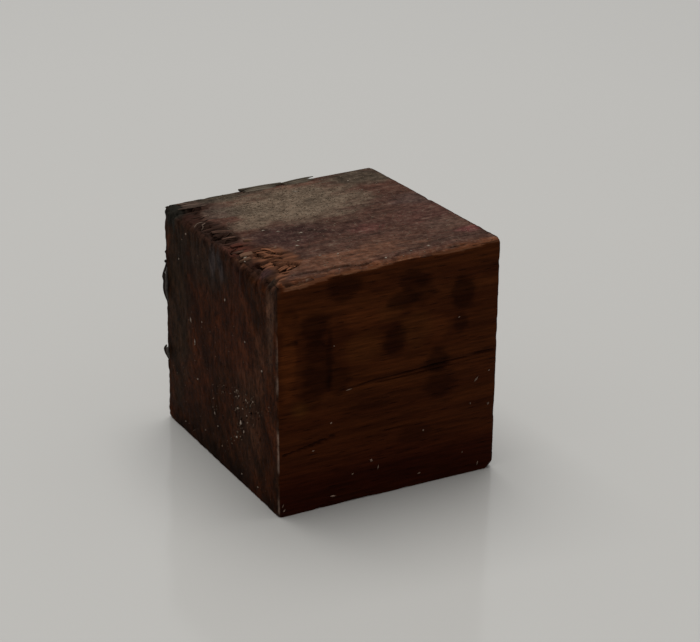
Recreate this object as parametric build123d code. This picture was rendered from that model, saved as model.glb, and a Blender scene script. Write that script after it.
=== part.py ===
"""Wooden cube: a one-inch offcut of dark oiled hardwood, sawn across the grain at both ends.

It is one solid piece. X runs along the grain, Y across it and Z up, and the block stands on Z = 0 with the
middle of its base at the origin. The end at -X is the torn one: the saw broke fibres out of its top edge
and pushed splinters past its back edge. The face at -Y is the front, with drying cracks along the grain.
"""

from build123d import *
import math
import os

# Size of the block, in millimetres
grain_length = 25.2
width = 26.5
height = 25.25

# Lean of each face out of square, in degrees along the two other axes, in X, Y, Z order
torn_end_leans = (0.1, -0.7)
far_end_leans = (-0.6, -0.3)
front_leans = (-0.1, 0.85)
back_leans = (-0.4, -0.2)
top_leans = (1.8, -0.35)
base_leans = (0.0, 0.0)

# Stock left round the block before its faces are sawn, and how far every cutter runs past the wood
saw_allowance = 2.0
overrun = 0.5

# Width of the worn round on each edge, and how far its arc bulges as a share of that width
front_arris_wear = 0.95
front_arris_far_wear = 0.5
far_arris_wear = 0.28
back_arris_wear = 0.2
front_far_corner_wear = 0.25
front_torn_corner_wear = 0.22
back_corner_wear = 0.2
far_foot_wear = 0.5
foot_wear = 0.15
bulge_share = 0.24

# Fibre bundles torn out of the top edge of the sawn end. Each row is one bundle: where its mouth starts and
# ends along the edge from the front, where its inner end does, its length along the grain and its depth
tear_length = 5.2
tear_depth = 0.35
tear_shares = (
    (0.020, 0.075, 0.045, 0.060, 0.28, 0.35),
    (0.060, 0.105, 0.085, 0.100, 0.62, 0.30),
    (0.095, 0.125, 0.120, 0.130, 0.95, 0.45),
    (0.115, 0.190, 0.150, 0.175, 0.55, 0.62),
    (0.170, 0.205, 0.195, 0.205, 0.90, 0.40),
    (0.185, 0.275, 0.215, 0.250, 0.48, 0.80),
    (0.240, 0.300, 0.275, 0.295, 1.00, 0.55),
    (0.290, 0.330, 0.305, 0.320, 0.70, 0.72),
    (0.310, 0.420, 0.340, 0.395, 0.42, 0.92),
    (0.385, 0.430, 0.410, 0.425, 0.58, 0.60),
    (0.425, 0.480, 0.435, 0.455, 0.36, 0.50),
    (0.455, 0.590, 0.480, 0.560, 0.50, 1.00),
    (0.540, 0.580, 0.560, 0.575, 0.70, 0.75),
    (0.585, 0.720, 0.640, 0.690, 0.60, 0.78),
    (0.600, 0.640, 0.615, 0.625, 0.74, 0.42),
    (0.700, 0.735, 0.715, 0.728, 0.85, 0.55),
    (0.735, 0.850, 0.760, 0.830, 0.45, 0.66),
    (0.805, 0.845, 0.825, 0.840, 0.72, 0.50),
    (0.845, 0.905, 0.875, 0.895, 0.78, 0.85),
    (0.895, 0.990, 0.915, 0.960, 0.30, 0.40),
)

# Nick worn off the upper end of the torn end's back corner
nick_depth = 0.45
nick_length = 2.2

# Drying cracks along the grain. Each row is one crack: its face, its two ends in shares of that face, from
# the torn end and from the base or the front, and its depth as a share of the deepest
crack_gap = 0.2
crack_depth = 0.55
crack_shares = (
    ("front", (0.30, 0.494), (0.99, 0.516), 1.0),
    ("front", (0.01, 0.262), (0.27, 0.300), 0.8),
    ("front", (0.42, 0.279), (0.66, 0.284), 0.6),
    ("front", (0.03, 0.728), (0.39, 0.690), 0.6),
    ("front", (0.60, 0.345), (0.97, 0.372), 0.5),
    ("top", (0.06, 0.074), (0.34, 0.060), 0.9),
    ("top", (0.31, 0.062), (0.66, 0.034), 0.7),
)

# Slivers split up along the top's back edge, each as its root and its free end in shares of the length
sliver_rise = 0.3
sliver_width = 0.7
sliver_shares = ((0.57, 0.36), (0.55, 0.73))

# Splinters that the saw pushed past the back edge of the torn end, as low and high end in shares of the
# height and their reach as a share of the longest, and how much of its height a splinter keeps at its tip
splinter_reach = 0.62
splinter_root = 2.4
splinter_thickness = 0.35
splinter_tip_share = 0.35
splinter_shares = (
    (0.550, 0.640, 0.70),
    (0.655, 0.750, 0.95),
    (0.280, 0.340, 1.00),
    (0.775, 0.800, 0.55),
)

# How deep the root of a sliver or splinter sits in the wood
root_depth = 0.2


def face_plane(centre, axis, side, leans):
    """Plane of a face that points out of the block along an axis, leaning along the two other axes."""
    normal = [0.0, 0.0, 0.0]
    normal[axis] = side
    others = [other for other in range(3) if other != axis]
    for other, lean in zip(others, leans):
        normal[other] = -side * math.tan(math.radians(lean))
    return Plane(origin=centre, z_dir=normal)


half_length, half_width, mid_height = grain_length / 2, width / 2, height / 2
faces = {
    "torn_end": face_plane((-half_length, 0, mid_height), 0, -1, torn_end_leans),
    "far_end": face_plane((half_length, 0, mid_height), 0, 1, far_end_leans),
    "front": face_plane((0, -half_width, mid_height), 1, -1, front_leans),
    "back": face_plane((0, half_width, mid_height), 1, 1, back_leans),
    "base": face_plane((0, 0, 0), 2, -1, base_leans),
    "top": face_plane((0, 0, height), 2, 1, top_leans),
}


def onto_face(name, point):
    """The point of a named face nearest to a point."""
    plane = faces[name]
    return point - plane.z_dir * plane.to_local_coords(point).Z


def between(start, end, share):
    """The point that lies a share of the way from one point to another."""
    return start + (end - start) * share


def edge_between(block, first, second):
    """The block's edge where two of its named faces meet."""

    def off_both(edge):
        return sum(abs(faces[name].to_local_coords(edge.center()).Z) for name in (first, second))

    return min(block.edges(), key=off_both)


def run_of(edge, axis):
    """The two ends of an edge, the one lower along an axis first."""
    return sorted((edge @ 0, edge @ 1), key=lambda point: point.dot(axis.direction))


def sawn_block():
    """The stock with its six faces sawn flat, each leaning a little."""
    allowance = 2 * saw_allowance
    stock = Pos(0, 0, mid_height) * Box(grain_length + allowance, width + allowance, height + allowance)
    for plane in faces.values():
        stock = split(stock, bisect_by=plane, keep=Keep.BOTTOM)
    return stock


def worn_edge(start, end, first, second, start_wear, end_wear):
    """Cutter that leaves a worn round along an edge, as wide as the wear given for each of its ends."""
    out_first, out_second = faces[first].z_dir, faces[second].z_dir
    lean = out_first.dot(out_second)
    along_first = (out_first * lean - out_second).normalized()
    along_second = (out_second * lean - out_first).normalized()
    outward = out_first + out_second

    def section(corner, wear):
        on_first, on_second = corner + along_first * wear, corner + along_second * wear
        crown = (on_first + on_second) / 2 + outward.normalized() * wear * bulge_share
        sides = (
            on_second,
            on_second + out_second * overrun,
            corner + outward * overrun,
            on_first + out_first * overrun,
            on_first,
        )
        return make_face([ThreePointArc(on_first, crown, on_second), Polyline(*sides)])

    past = (end - start).normalized() * overrun
    return loft([section(start - past, start_wear), section(end + past, end_wear)], ruled=True)


def worn_edges(block):
    """Cutters for every worn edge of the sharp block. The torn edge has none."""
    wear = (
        ("top", "front", Axis.X, front_arris_wear, front_arris_far_wear),
        ("top", "far_end", Axis.Y, far_arris_wear, far_arris_wear),
        ("top", "back", Axis.X, back_arris_wear, back_arris_wear),
        ("front", "far_end", Axis.Z, front_far_corner_wear, front_far_corner_wear),
        ("front", "torn_end", Axis.Z, front_torn_corner_wear, front_torn_corner_wear),
        ("back", "far_end", Axis.Z, back_corner_wear, back_corner_wear),
        ("back", "torn_end", Axis.Z, back_corner_wear, back_corner_wear),
        ("base", "far_end", Axis.Y, far_foot_wear, far_foot_wear),
        ("base", "front", Axis.X, foot_wear, foot_wear),
        ("base", "back", Axis.X, foot_wear, foot_wear),
        ("base", "torn_end", Axis.Y, foot_wear, foot_wear),
    )
    cutters = []
    for first, second, axis, start_wear, end_wear in wear:
        start, end = run_of(edge_between(block, first, second), axis)
        cutters.append(worn_edge(start, end, first, second, start_wear, end_wear))
    return cutters


def torn_bundles(front_end, back_end):
    """Cutters for the torn top edge of the sawn end, each deepest there and running out along the grain."""
    cutters = []
    for mouth_start, mouth_end, inner_start, inner_end, long, deep in tear_shares:
        length, depth = tear_length * long, tear_depth * deep
        past_share = 1 + overrun / length
        lift = Vector(0, 0, depth * past_share + overrun)
        floor = []
        for mouth_share, inner_share in ((mouth_start, inner_start), (mouth_end, inner_end)):
            mouth = between(front_end, back_end, mouth_share) - Vector(0, 0, depth)
            inner = onto_face("top", between(front_end, back_end, inner_share) + Vector(length, 0, 0))
            floor += [inner, between(inner, mouth, past_share)]
        cutters.append(ConvexPolyhedron(floor + [point + lift for point in floor]))
    return cutters


def corner_nick(foot, head):
    """Wedge worn off the upper end of the vertical back corner of the torn end."""
    down = (foot - head).normalized()
    outward = Vector(-nick_depth, nick_depth, 0)
    above = head - down * overrun
    outline = Polyline(head + down * nick_length, above - outward, above + outward, close=True)
    return extrude(make_face(outline), amount=2 * nick_depth, dir=(1, 1, 0), both=True)


def crack(name, start, end, deep):
    """Pointed slit from one point of a face to another, deepest and widest in its middle."""
    start, end = onto_face(name, start), onto_face(name, end)
    inward = -faces[name].z_dir
    depth = crack_depth * deep
    middle = (start + end) / 2
    across = inward.cross(end - start).normalized() * (crack_gap / 2)
    bottom = middle + inward * depth
    past_share = 1 + overrun / depth
    mouth = (start, middle + across, end, middle - across)
    return ConvexPolyhedron([bottom] + [between(bottom, point, past_share) for point in mouth])


def cracks():
    """Cutters for the cracks, which follow the grain on the front and the top."""
    torn_foot = Vector(-half_length, -half_width, 0)
    across = {"front": Vector(0, 0, height), "top": Vector(0, width, 0)}
    base = {"front": torn_foot, "top": torn_foot + Vector(0, 0, height)}
    cutters = []
    for name, start_shares, end_shares, deep in crack_shares:
        ends = [
            base[name] + Vector(grain_length * along_share, 0, 0) + across[name] * across_share
            for along_share, across_share in (start_shares, end_shares)
        ]
        cutters.append(crack(name, *ends, deep))
    return cutters


def top_slivers(torn_corner, far_corner):
    """Slivers split up along the back edge of the top, each held at its root and up at its free end."""
    slivers = []
    outer = Vector(0, -back_arris_wear, -root_depth)
    inner = outer - Vector(0, sliver_width, 0)
    risen = outer + Vector(0, 0, root_depth + sliver_rise)
    for root_share, free_share in sliver_shares:
        root, free = (between(torn_corner, far_corner, share) for share in (root_share, free_share))
        foot = [end + side for end in (root, free) for side in (outer, inner)]
        slivers.append(ConvexPolyhedron(foot + [free + risen]))
    return slivers


def back_splinters(foot, head):
    """Splinters on the back face that bend away from it and stand past the edge of the torn end."""
    splinters = []
    for low_share, high_share, far in splinter_shares:
        low, high = (between(foot, head, share) for share in (low_share, high_share))
        middle, half_tip = (low + high) / 2, (high - low) * (splinter_tip_share / 2)
        reach = splinter_reach * far
        root = middle + Vector(splinter_root, -root_depth, 0)
        heel = Vector(back_corner_wear, -splinter_thickness - root_depth, 0)
        tip = middle + Vector(-reach, reach, 0) / 2
        corners = (root, low + heel, high + heel, tip - half_tip, tip + half_tip)
        splinters.append(ConvexPolyhedron(corners))
    return splinters


def wooden_cube():
    """The finished block: sawn, worn, splintered, torn, cracked and nicked, in one solid."""
    sharp = sawn_block()
    front_end, back_end = run_of(edge_between(sharp, "top", "torn_end"), Axis.Y)
    torn_corner, far_corner = run_of(edge_between(sharp, "top", "back"), Axis.X)
    foot, head = run_of(edge_between(sharp, "back", "torn_end"), Axis.Z)
    block = sharp
    for cutter in worn_edges(sharp):
        block -= cutter
    for splinter in top_slivers(torn_corner, far_corner) + back_splinters(foot, head):
        block += splinter
    for cutter in torn_bundles(front_end, back_end) + cracks() + [corner_nick(foot, head)]:
        block -= cutter
    return block


os.makedirs("parts", exist_ok=True)
cube = wooden_cube()
print("solids", len(cube.solids()), "valid", cube.is_valid, "volume", round(cube.volume))
print(cube.bounding_box())
export_step(cube.solids()[0], "parts/wooden_cube.step")
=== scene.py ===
"""Looks of the wooden cube: worn, torn and dusty dark hardwood, on a plain pale floor.

Lengths are in millimetres, in the CAD frame, and turn into metres where a mesh, a light or a camera is made.
X runs along the grain, the torn end is at -X, the front is at -Y and the cube stands on Z = 0. Places read
off the photograph are pixels of its 700 by 642 frame, and the camera carries them to the surface.
"""

import math
from types import SimpleNamespace

import bpy
import numpy as np
from mathutils import Matrix, Vector
from mathutils.bvhtree import BVHTree


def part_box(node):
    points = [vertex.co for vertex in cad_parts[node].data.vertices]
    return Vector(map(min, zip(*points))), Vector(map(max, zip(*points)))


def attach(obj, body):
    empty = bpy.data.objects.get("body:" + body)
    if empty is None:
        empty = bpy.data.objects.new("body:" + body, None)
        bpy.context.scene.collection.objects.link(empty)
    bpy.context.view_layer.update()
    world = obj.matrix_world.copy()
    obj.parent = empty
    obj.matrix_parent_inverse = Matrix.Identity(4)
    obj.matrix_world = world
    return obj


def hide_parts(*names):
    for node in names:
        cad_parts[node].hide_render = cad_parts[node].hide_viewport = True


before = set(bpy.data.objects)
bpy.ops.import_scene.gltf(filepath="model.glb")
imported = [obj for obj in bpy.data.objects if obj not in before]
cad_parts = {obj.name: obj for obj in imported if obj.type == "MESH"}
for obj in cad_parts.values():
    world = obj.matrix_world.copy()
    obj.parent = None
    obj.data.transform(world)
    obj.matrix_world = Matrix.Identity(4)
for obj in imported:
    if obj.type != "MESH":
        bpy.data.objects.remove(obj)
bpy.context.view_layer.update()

metres = 0.001
rng = np.random.default_rng(7)

# Camera, fitted to the seven corners that the photograph shows
photo_width, photo_height = 700, 642
sensor_width = 36.0
camera_lens = 100.95
camera_azimuth = math.radians(-29.587)
camera_elevation = math.radians(22.588)
camera_roll = math.radians(1.238)
camera_distance = 208.9
camera_aim = np.array((2.757, 0.0, 13.561))
pixel_size = 0.107

# Pitch of the block's mesh along each axis, at places from the torn end, the front and the base, and the steps
# in which it is followed
grain_pitches = ((0, 0.09), (0.5, 0.13), (4.5, 0.15), (7, 0.34), (24.2, 0.34), (24.6, 0.14), (25.2, 0.10))
width_pitches = ((0, 0.10), (1.2, 0.12), (11.5, 0.13), (12.5, 0.20), (25.4, 0.20), (26.0, 0.13), (26.5, 0.10))
height_pitches = (
    (0, 0.11), (0.8, 0.28), (6.3, 0.28), (6.6, 0.11), (7.6, 0.11), (7.9, 0.28),
    (12.2, 0.28), (12.4, 0.09), (13.1, 0.09), (13.4, 0.28), (23.4, 0.26), (24.3, 0.12), (25.25, 0.10),
)
pitch_steps = 4000
block_pitches = (grain_pitches, width_pitches, height_pitches)
block_size = np.array([pitches[-1][0] for pitches in block_pitches])

# The block's six sides: axis, direction, and three flat spots as shares of the box along the other two axes
sides = {
    "torn_end": (0, -1, ((0.3, 0.2), (0.7, 0.2), (0.5, 0.8))),
    "far_end": (0, 1, ((0.2, 0.2), (0.8, 0.2), (0.5, 0.8))),
    "front": (1, -1, ((0.2, 0.12), (0.8, 0.12), (0.5, 0.85))),
    "back": (1, 1, ((0.4, 0.2), (0.8, 0.2), (0.6, 0.8))),
    "base": (2, -1, ((0.2, 0.2), (0.8, 0.2), (0.5, 0.8))),
    "top": (2, 1, ((0.4, 0.3), (0.8, 0.3), (0.6, 0.7))),
}

# How far off the surface rays start that feel it out: near ones, which take a flat side in by no more than
# that, and far ones
ray_reach = 4.0
ray_start = 40.0

# The torn edge: how far it reaches along the grain, how much it sways from the CAD solid's straight breaks,
# how far its fibres sink and how deep its floor may lie
tear_zone = 5.2
tear_sway = 0.22
tear_sink = 0.03
floor_depth = 0.26

# The rim of the torn edge: how far it drops evenly and raggedly, how far from it the top and the end follow,
# how far below it the end is felt out, and how near to it the fine relief fades
rim_depth = 0.05
rim_ragged = 0.35
rim_reach = 1.0
tear_follow = 2.0
felt_below = 0.6
rim_calm = 0.4

# The most that a point is taken in to meet the CAD solid, on most edges, the torn end, the back and the crisp
# edges, and the most that it is let out
edge_round = 0.75
end_round = 0.4
back_round = 0.3
crisp_round = 0.06
proud_limit = 0.04

# How far the rim of the torn edge is rounded off, at shares of the width from the front
rim_shares = (0.0, 0.05, 0.20, 0.30, 0.50, 0.70, 0.85, 1.0)
rim_cuts = (1.2, 1.8, 1.7, 0.9, 0.8, 1.1, 0.9, 0.5)

# How far along its edges each corner is knocked off, by far end, back and top
knocked_corners = {
    (1, 0, 1): 0.7, (1, 0, 0): 1.15, (1, 1, 1): 0.5, (1, 1, 0): 0.8,
    (0, 0, 1): 0.9, (0, 0, 0): 0.5, (0, 1, 1): 0.4, (0, 1, 0): 0.6,
}

# Splits along the grain, as pixels that each one passes through, with its depth and half width
splits = {
    "front_long_left": (((340, 389.5), (353, 387.5), (372, 381), (395, 375)), 0.15, 0.07),
    "front_long_right": (((395, 375), (420, 368.5), (441, 363.5), (470, 355.5), (494, 349)), 0.40, 0.10),
    "front_low": (((283, 456), (300, 449.5), (318, 442), (335, 435.5)), 0.25, 0.09),
    "front_left": (((281, 346), (290, 344.5), (297, 343)), 0.22, 0.09),
    "top_behind_arris": (((293, 275.5), (307, 272.6), (320, 270.8), (330, 268.5), (346, 265.2), (364, 264.4),
                          (372, 260.8)), 0.40, 0.21),
    "arris_upper": (((281, 281.8), (294, 279.9), (306, 277.8), (314, 276.4)), 0.20, 0.09),
    "arris_lower": (((285, 286.4), (296.7, 283.8), (305, 281.8), (312.7, 279.8)), 0.20, 0.09),
    "arris_right": (((447, 247.3), (458, 245.8), (466, 243.6)), 0.20, 0.12),
}

# How deep the CAD solid's own cracks are followed under those splits, which then add their own depth
crack_follow = 0.05

# Colours of the wood under plain light, with painted shade and painted highlight colours among them
front_dark = (0.036, 0.0088, 0.0026)
front_light = (0.064, 0.0175, 0.0048)
top_red = (0.068, 0.0285, 0.0190)
top_brown = (0.045, 0.0225, 0.0165)
end_dark = (0.019, 0.0070, 0.0028)
end_light = (0.049, 0.0132, 0.0046)
# Painted shade for the gaps between torn fibres, the slots and the cracks, in place of the shade inside them
gap_painted_shade = (0.009, 0.0033, 0.0017)
torn_front = (0.150, 0.0610, 0.0310)
torn_middle = (0.072, 0.0290, 0.0190)
torn_back = (0.038, 0.0200, 0.0140)
# Painted shade on the torn floor near the rim, as dark as the shaded end below it
rim_painted_shade = (0.0190, 0.0095, 0.0065)
# Painted shade on the end just under the rim of the torn edge
under_rim_painted_shade = (0.0290, 0.0130, 0.0085)
worn_orange = (0.132, 0.0490, 0.0210)
worn_arris = (0.117, 0.0410, 0.0182)
# Lighter worn wood on the arris lips, with a painted highlight along their edge
lip_wear_and_highlight = (0.165, 0.0740, 0.0380)
# Pale worn wood with a painted highlight along the front corner of the torn end
corner_wear_and_highlight = (0.200, 0.1350, 0.1020)
dust_pale = (0.182, 0.1390, 0.1000)
dust_brown = (0.108, 0.0760, 0.0520)
grit_colour = (0.200, 0.1450, 0.1050)

# How far the worn band of the top front arris comes down the front, at places from the torn end
arris_places = (0.0, 0.8, 2.0, 3.2, 5.0, 8.5, 12.0, 13.5, 15.5, 17.0, 25.2)
arris_heights = (0.85, 0.88, 0.85, 0.65, 0.48, 0.38, 0.36, 0.18, 0.18, 0.38, 0.38)

# Light lips of worn wood on the arris, with a painted highlight along them, as pixels along each, and their
# half width
lips = (
    ((284, 287.6), (293, 287.8), (304.6, 284), (313.8, 280.8), (324, 278.6)),
    ((295, 278.4), (306, 276.4), (318, 274.6), (330, 272.4)),
)
lip_half_width = 0.12

# Dark stains: the pixel of their middle, half sizes along X, Y and Z, and the share of colour that they leave
stains = (
    ((414, 281), (2.2, 1.0, 1.2), 0.55), ((405, 299), (2.0, 1.0, 1.2), 0.50),
    ((424, 294), (1.5, 1.0, 1.7), 0.60), ((463, 295), (1.5, 1.0, 2.1), 0.45),
    ((461, 320), (0.9, 1.0, 1.5), 0.60), ((314, 329), (1.8, 1.0, 2.2), 0.50),
    ((317, 354), (1.5, 1.0, 2.0), 0.60), ((317, 380), (2.0, 1.0, 2.3), 0.45),
    ((330, 358), (0.40, 1.0, 4.2), 0.60), ((395, 341), (1.4, 1.0, 1.8), 0.48),
    ((437, 359), (1.6, 1.0, 1.6), 0.48), ((346, 285), (2.2, 1.0, 1.6), 0.55),
    ((440, 381), (2.2, 1.0, 1.6), 0.58), ((375, 405), (3.5, 1.0, 0.7), 0.78),
    ((338, 380), (1.6, 1.0, 1.6), 0.62), ((312, 402), (1.5, 1.0, 1.4), 0.70),
    ((290, 319), (1.0, 1.0, 1.2), 0.72), ((413, 434), (2.0, 1.0, 1.0), 0.70),
    ((222, 462), (1.0, 16.0, 1.7), 0.62), ((194, 405), (1.0, 2.4, 3.2), 0.62),
)

# How far up the front its dark foot reaches, and the share of each colour that it takes
front_foot = 9.5
foot_loss = np.array((0.42, 0.57, 0.50))

# Patches of other colour: the pixel of their middle, half sizes along X, Y and Z, colour, strength
patches = {
    "dust_field": ((296, 203), (8.0, 5.4, 1.2), dust_brown, 0.95),
    "dust_left": ((252, 211), (2.7, 3.2, 1.0), dust_brown, 0.85),
    "dust_front": ((250, 224), (2.6, 2.0, 1.0), dust_brown, 0.7),
    "dust_right": ((354, 196), (2.6, 2.6, 1.0), dust_brown, 0.6),
    "back_strip": ((212, 199), (6.0, 1.2, 0.8), (0.042, 0.034, 0.024), 0.85),
    "back_corner": ((360, 177), (4.6, 2.6, 1.0), (0.046, 0.035, 0.024), 0.85),
    "purple_left": ((287, 236), (4.4, 3.2, 1.0), (0.034, 0.0155, 0.0130), 0.9),
    "purple_middle": ((352, 228), (4.5, 1.9, 1.0), (0.037, 0.0165, 0.0135), 0.6),
    "grey_left": ((220, 212), (2.2, 2.8, 1.0), (0.048, 0.0340, 0.0260), 0.7),
    "red_right": ((432, 212), (5.0, 3.6, 1.0), (0.060, 0.025, 0.020), 0.6),
    "red_spot": ((468, 228), (1.5, 1.0, 0.8), (0.090, 0.026, 0.024), 0.8),
    "red_middle": ((366, 228), (2.2, 1.4, 1.0), (0.085, 0.030, 0.024), 0.6),
    "orange_swirl": ((378, 243), (2.4, 1.6, 1.0), (0.098, 0.045, 0.028), 0.6),
    "grey_right": ((415, 197), (3.0, 2.0, 1.0), (0.055, 0.036, 0.032), 0.5),
    "beige_right": ((448, 222), (2.5, 2.2, 1.0), (0.085, 0.050, 0.036), 0.5),
    "front_strip": ((345, 258), (8.5, 2.0, 0.9), (0.103, 0.043, 0.024), 0.85),
    "orange_left": ((288, 358), (0.9, 1.0, 4.0), (0.085, 0.0225, 0.0056), 0.7),
    "orange_middle": ((362, 318), (2.6, 1.0, 1.2), (0.081, 0.0215, 0.0056), 0.6),
    "orange_right": ((436, 328), (1.6, 1.0, 1.4), (0.081, 0.0215, 0.0058), 0.6),
    "front_light_left": ((364, 346), (2.2, 1.0, 1.8), (0.080, 0.0240, 0.0060), 0.55),
    "front_light_middle": ((390, 312), (1.6, 1.0, 1.0), (0.078, 0.0240, 0.0062), 0.45),
    "front_light_right": ((416, 329), (1.8, 1.0, 2.2), (0.078, 0.0240, 0.0062), 0.55),
    "olive": ((300, 411), (1.3, 1.0, 1.0), (0.071, 0.0245, 0.0056), 0.6),
    "end_dark_left": ((178, 300), (1.0, 3.2, 12.0), (0.0210, 0.0123, 0.0068), 0.75),
    "end_red": ((236, 335), (1.0, 4.2, 6.5), (0.0470, 0.0130, 0.0052), 0.6),
    "end_dark_top": ((205, 258), (1.0, 6.0, 3.6), (0.0215, 0.0122, 0.0078), 0.85),
    "end_grey_1": ((212, 262), (1.0, 0.80, 1.9), (0.044, 0.0350, 0.0345), 0.60),
    "end_grey_2": ((218, 257), (1.0, 0.60, 1.5), (0.044, 0.0350, 0.0345), 0.60),
    "end_grey_3": ((221, 270), (1.0, 0.55, 1.3), (0.044, 0.0350, 0.0345), 0.60),
    "end_pale_band": ((270, 316), (1.0, 0.9, 5.4), (0.080, 0.0380, 0.0225), 0.75),
    "end_light_right": ((260, 366), (1.0, 1.5, 3.6), (0.075, 0.0290, 0.0150), 0.6),
    "end_crust": ((248, 425), (1.0, 3.2, 6.0), (0.045, 0.0230, 0.0135), 0.5),
    "end_low": ((215, 440), (1.0, 8.0, 3.2), (0.020, 0.0078, 0.0034), 0.7),
    "end_dark_middle": ((237, 272), (1.0, 1.6, 1.8), (0.0260, 0.0092, 0.0055), 0.85),
}

# How thick dust lies on the top where there is no patch of it
top_film = 0.22

# Patches on the torn edge, as above
torn_patches = (
    ((175, 210), (1.6, 2.4, 2.6), (0.013, 0.0120, 0.0090), 0.95),
    ((262, 271), (0.9, 1.1, 0.7), (0.050, 0.0240, 0.0230), 0.7),
    ((256, 264), (0.7, 0.9, 0.8), (0.020, 0.0065, 0.0038), 0.9),
    ((239, 250), (1.2, 1.3, 0.9), (0.068, 0.0210, 0.0130), 0.8),
    ((191, 218), (1.0, 1.6, 0.9), (0.030, 0.0115, 0.0075), 0.8),
    ((268, 280), (0.8, 0.8, 0.8), (0.030, 0.0210, 0.0150), 0.7),
    ((275, 291), (0.7, 0.7, 1.0), (0.030, 0.0160, 0.0110), 0.6),
)

# How far from the sawn end the torn fibres start and end, at shares of the width from the front
comb_shares = (0.0, 0.06, 0.12, 0.15, 0.19, 0.34, 0.40, 0.46, 0.59, 0.65, 0.74, 0.85, 0.91, 1.0)
comb_starts = (0.3, 0.6, 1.6, 1.8, 1.4, 1.5, 0.6, 0.3, 1.0, 0.8, 0.3, 0.6, 1.2, 1.4)
comb_ends = (1.2, 2.0, 2.9, 4.6, 5.1, 5.0, 2.8, 2.4, 2.9, 3.2, 1.8, 2.2, 3.6, 2.0)

# How strongly torn wood hangs over the rim, at shares of the width from the front
hanging_shares = (0.0, 0.04, 0.10, 0.24, 0.30, 0.46, 0.54, 0.72, 0.80, 1.0)
hanging_strengths = (0.5, 0.4, 0.0, 0.0, 0.6, 0.6, 0.1, 0.3, 0.1, 0.0)

# Thin fibres of the torn edge: shares of the width from the front, lengths, half thicknesses and how many
torn_rows = (
    ((0.13, 0.38), (0.8, 2.2), (0.03, 0.06), 5),
    ((0.38, 0.54), (0.5, 1.2), (0.04, 0.07), 10),
    ((0.54, 0.95), (0.7, 1.8), (0.03, 0.06), 26),
)

# Slots between the bundles of the torn edge, cut in and given painted shade: pixels along each, its half width
slots = (
    (((255, 252), (265.7, 252.8)), 0.20), (((268, 253), (281, 254)), 0.20),
    (((257, 255.8), (263, 255.2)), 0.28), (((262, 263.2), (270, 260.6), (279.7, 258.8)), 0.32),
    (((257, 264.8), (262, 266.5)), 0.34), (((261, 266), (268, 265.3)), 0.24),
    (((273.3, 264), (280.8, 265.3), (285.5, 263.6), (297.2, 263.3)), 0.34),
    (((278, 269.3), (285.5, 265.3)), 0.24), (((283.5, 270.2), (290, 266)), 0.24),
    (((289, 269), (297, 264.9)), 0.26), (((285, 272.4), (286.5, 272)), 0.28),
    (((230, 251.6), (240.7, 251)), 0.26), (((214, 235.6), (224, 234.8), (234, 234.2)), 0.34),
    (((213, 240), (219, 238.5)), 0.28), (((224, 243), (231, 240.5), (238, 237.5)), 0.28),
    (((178, 211.6), (190, 209.8), (206, 208.2)), 0.28), (((200, 229), (204, 227.5), (208, 226.5)), 0.40),
)
slot_depth = 0.60

# Fibre bundles of the torn edge, as pixels from the tip to the root, with half thickness and colour
chunk_red = (0.075, 0.027, 0.018)
chunk_pale = (0.105, 0.056, 0.034)
bundle_brown = (0.078, 0.042, 0.029)
bundles = (
    (((260, 249.6), (266, 249.8), (274, 251.8)), 0.12, torn_front),
    (((257, 254.0), (263, 253.8), (270, 255.4)), 0.12, torn_front),
    (((264, 258.4), (271, 256.8), (281, 256.6)), 0.12, torn_front),
    (((268, 263.2), (276, 261.2), (288, 261.6)), 0.12, torn_front),
    (((262, 268.4), (267, 266.8), (272, 263.6)), 0.12, torn_front),
    (((279, 271.4), (283, 269.0), (288, 266.0)), 0.12, torn_front),
    (((286, 271.2), (290, 268.8), (295, 266.0)), 0.12, torn_front),
    (((212, 233.2), (222, 232.4), (233.4, 231.4)), 0.13, bundle_brown),
    (((222, 240), (229, 238.4), (235.5, 236.8)), 0.13, bundle_brown),
    (((231, 247.6), (236, 246.2), (242, 244.6)), 0.20, chunk_red),
    (((232, 254.4), (237, 253.2), (243, 251)), 0.16, bundle_brown),
    (((240, 257), (245, 255.6), (252, 253)), 0.20, chunk_pale),
    (((240, 262.6), (244, 261), (250, 258)), 0.16, chunk_pale),
    (((244, 241.6), (248, 240.9), (252, 240.6)), 0.10, chunk_pale),
)
bundle_strands = 3
bundle_lift = 0.08
bundle_sink = 0.10

# Where the torn edge runs: its ends at the front and the back, and how far out it is
torn_front_y = -13.2
torn_back_y = 13.2
torn_end_x = -12.6

# Thin fibres that lie on the torn edge: points along each, how far one may dip, how far its root is sunk and
# how far its tip stands up
laid_points = 8
laid_drop = 1.0
laid_sink = 0.12
laid_tip_rise = (-0.08, 0.06)

# Slivers along the back of the top: free end, its rise, root, its rise, half thickness, how blunt it ends
top_slivers = ((-3.95, 0.15, 1.1, 0.08, 0.13, 0.95), (5.05, 0.18, 1.1, 0.05, 0.09, 0.4))
sliver_colour = (0.094, 0.076, 0.056)

# Strands of a sliver: how many, points along each, how far the first is from the edge, how far each next one
# is further in and lower, the share of its length that it may lack at each end, and where the top and, so far
# below it, the back are felt out
sliver_rows = 5
sliver_points = 12
sliver_inset = 0.16
sliver_pitch = 0.17
sliver_step = 0.045
sliver_fray = 0.2
sliver_inner_y = 12.2
sliver_below = 0.5

# Striated flake at the torn corner of the top, as pixels along its strands
flake_colour = (0.098, 0.066, 0.050)
flake = (
    ((176.5, 205.5), (192, 203.8), (207.5, 205.2)), ((176, 207.3), (192, 205.4), (208, 206.4)),
    ((176.5, 209), (190, 207.2), (205, 207.0)), ((178, 210.3), (189, 208.8), (200, 208.0)),
)
flake_strands = 3
flake_points = 16
flake_fray = 5
flake_lift = 0.07

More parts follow.
